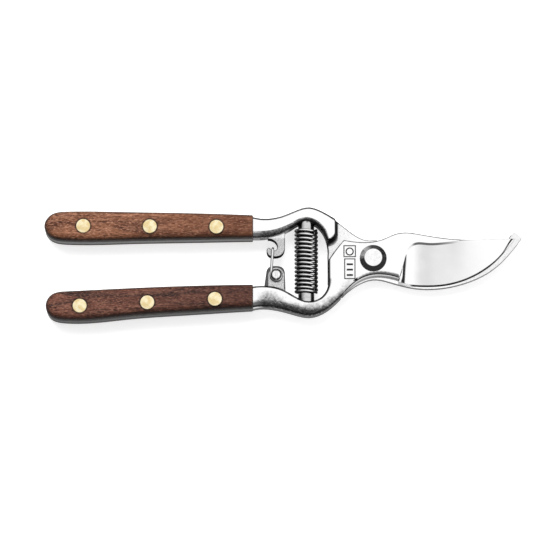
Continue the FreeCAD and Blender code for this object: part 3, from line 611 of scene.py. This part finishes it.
# %% Catch wire
def catch_steel(name):
    """Drawn wire, with a painted highlight on top and painted shade underneath."""
    finish = Finish(name, Metallic=1.0)
    specks = finish.noise(finish.place(), scale=3000.0)
    # painted highlight on top, painted shade underneath
    colour = finish.mix(finish.leans("Z").ramp(0.45, 0.92), grey(0.08), grey(0.80))
    rough = 0.14 + specks * 0.08
    return finish.surface(Base_Color=colour, Roughness=rough, Normal=finish.bump(specks, 0.006 * MM))


dress(catch_steel("catch_steel"), "catch_wire")

# %% [markdown]
# ## Return spring
#
# The spring is a compression spring of round wire whose last coil at each end is wound closed, so
# that it sits square on its stud. A helix with an even pitch would look like a stretched toy, so
# the pitch eases from closed to open over the first coil and back over the last.
#
# The wire is swept as a mesh: a ring of points at each step, square to the helix.

# %% How the coils climb
COILS = 16
STEPS_PER_COIL = 36
WIRE = 0.62 * MM
CLOSED_PITCH = 2.04 * WIRE
EASING_COILS = 0.9
EASING_START = 0.3

spring_low, spring_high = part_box("return_spring")
spring_middle = (spring_low + spring_high) / 2
coil_radius = (spring_high.x - spring_low.x) / 2 - WIRE


def openness(turns):
    """Pitch at a number of turns, from 0 where closed to 1 where open."""
    from_end = min(turns, COILS - turns)
    eased = min(max(from_end / EASING_COILS - EASING_START, 0.0), 1.0)
    return eased * eased * (3 - 2 * eased)


steps = COILS * STEPS_PER_COIL
step_length = 2 * math.pi * coil_radius / STEPS_PER_COIL
opening = [openness((step + 0.5) / STEPS_PER_COIL) for step in range(steps)]
closed_rise = CLOSED_PITCH / STEPS_PER_COIL
spare = (spring_high.y - spring_low.y) - 2 * WIRE - steps * closed_rise
open_rise = spare / sum(opening)
climb = [spring_low.y + WIRE]
for share in opening:
    climb.append(climb[-1] + closed_rise + open_rise * share)
print(f"{COILS} coils of {2 * WIRE / MM:.2f} mm wire, {2 * (coil_radius + WIRE) / MM:.1f} mm across")

# %% Sweep the wire
WIRE_SIDES = 12
END_ROUNDING = (0.45, 0.80, 0.95)
points = []
for step, height in enumerate(climb):
    angle = 2 * math.pi * step / STEPS_PER_COIL
    out = Vector((math.cos(angle), 0.0, math.sin(angle)))
    rise = climb[min(step + 1, steps)] - climb[max(step - 1, 0)]
    round_way = Vector((-math.sin(angle), 0.0, math.cos(angle))) * (2 * step_length)
    along = (round_way + Vector((0.0, rise, 0.0))).normalized()
    across = along.cross(out)
    middle = Vector((spring_middle.x, height, spring_middle.z)) + out * coil_radius
    from_end = min(step, steps - step)
    radius = WIRE * (END_ROUNDING[from_end] if from_end < len(END_ROUNDING) else 1.0)
    for side in range(WIRE_SIDES):
        turn = 2 * math.pi * side / WIRE_SIDES
        points.append(middle + (out * math.cos(turn) + across * math.sin(turn)) * radius)

faces = []
for ring in range(steps):
    for side in range(WIRE_SIDES):
        here = ring * WIRE_SIDES + side
        beside = ring * WIRE_SIDES + (side + 1) % WIRE_SIDES
        faces.append((here, here + WIRE_SIDES, beside + WIRE_SIDES, beside))
faces.append(tuple(range(WIRE_SIDES)))
faces.append(tuple(steps * WIRE_SIDES + side for side in reversed(range(WIRE_SIDES))))

coil_mesh = bpy.data.meshes.new("return_coil")
coil_mesh.from_pydata(points, [], faces)
coil_mesh.shade_smooth()
coil_mesh.materials.append(spring_steel)
coil = bpy.data.objects.new("return_coil", coil_mesh)
bpy.context.scene.collection.objects.link(coil)
print(f"return coil: {len(points)} points")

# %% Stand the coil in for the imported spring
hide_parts("return_spring")
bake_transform(coil)

# %% [markdown]
# ## White table
#
# The tool lies on a white acrylic table that is lit from below as well as from above, which is
# how a maker's catalogue gets its clean white ground: what shadow is left is a faint grey. It is a
# hair below the tool, so that no two faces lie in the same plane. The steel must not mirror its
# edges, so it is hidden from reflections, and the surroundings below stand in for it.

# %% Table
TABLE_HALF = 1.5
FILM = 0.05 * MM
corners = [(x, y, -FILM) for x, y in ((-TABLE_HALF, -TABLE_HALF), (TABLE_HALF, -TABLE_HALF),
                                      (TABLE_HALF, TABLE_HALF), (-TABLE_HALF, TABLE_HALF))]
table_mesh = bpy.data.meshes.new("table")
table_mesh.from_pydata(corners, [], [(0, 1, 2, 3)])
acrylic = Finish("white_acrylic", Roughness=0.9, Base_Color=grey(0.6), Emission_Color=grey(1.0),
                 Emission_Strength=0.68)
table_mesh.materials.append(acrylic.material)
table = bpy.data.objects.new("table", table_mesh)
bpy.context.scene.collection.objects.link(table)
table.visible_glossy = False
table.visible_diffuse = False
print(f"table, {2 * TABLE_HALF:.0f} m square")

# %% [markdown]
# ## Studio surroundings and light
#
# Polished steel shows nothing but its surroundings. A wide white diffuser hangs overhead and
# leans to the back, so the flat faces mirror it; towards the user the room is grey, and low down
# all round it is nearly black, which draws the thin dark line along every rounded edge. Below the
# steel is the white table, dimmer straight down, where the tool's own shadow lies. The world's
# colour is worked out from the direction alone.

# %% Studio surroundings
world = bpy.data.worlds.new("studio")
bpy.context.scene.world = world
world.use_nodes = True
studio = Bench(world.node_tree)
direction = studio.node("ShaderNodeTexCoord", output="Generated")
x, y, z = (studio.part_of(direction, axis) for axis in "XYZ")
diffuser = (y + x * 0.6).ramp(-0.55, 0.06, 0.12, 1.06)
above = diffuser * z.ramp(0.30, 0.50) + 0.03
below = z.ramp(-0.15, -0.45, 0.0, 0.85) * z.ramp(-0.98, -0.85, 0.50, 1.0)
left_glow = (y * 0.7 - x * 0.7).ramp(0.72, 0.98, 0.0, 0.42) * z.size().ramp(0.5, 0.3)
background = world.node_tree.nodes["Background"]
studio.feed(background.inputs["Color"], above + below + left_glow)
studio.feed(background.inputs["Strength"], 1.0)
print("surroundings: diffuser above, dark room, white table below")

# %% Key light
KEY_PLACE = Vector((-0.15, 0.55, 0.85))
KEY_WIDTH = 0.9
KEY_DEPTH = 0.7
KEY_WATTS = 13

key_data = bpy.data.lights.new("key", "AREA")
key_data.shape = "RECTANGLE"
key_data.size = KEY_WIDTH
key_data.size_y = KEY_DEPTH
key_data.energy = KEY_WATTS
key = bpy.data.objects.new("key", key_data)
key.location = KEY_PLACE
key.rotation_euler = (-KEY_PLACE).to_track_quat("-Z", "Y").to_euler()
key.visible_camera = False
key.visible_glossy = False
bpy.context.scene.collection.objects.link(key)
print(f"key light, {KEY_WIDTH} by {KEY_DEPTH} m")

# %% [markdown]
# ## Camera
#
# A long lens from well above flattens the perspective, so both handles keep the same width. It
# stands a little towards the user, so the near walls of the forging show below its top.

# %% Camera
TILT = math.radians(11.2)
STAND_OFF = 1.6
FIELD = 0.2352
AIM = Vector((-0.0074, 0.0008, 0.0))

camera_data = bpy.data.cameras.new("camera")
camera_data.sensor_width = 36
camera_data.lens = camera_data.sensor_width * STAND_OFF / FIELD
camera = bpy.data.objects.new("camera", camera_data)
camera.location = AIM + STAND_OFF * Vector((0, -math.sin(TILT), math.cos(TILT)))
camera.rotation_euler = (TILT, 0, 0)
bpy.context.scene.collection.objects.link(camera)
bpy.context.scene.camera = camera
bpy.context.scene.view_settings.view_transform = "Standard"
print(f"{camera_data.lens:.0f} mm lens")
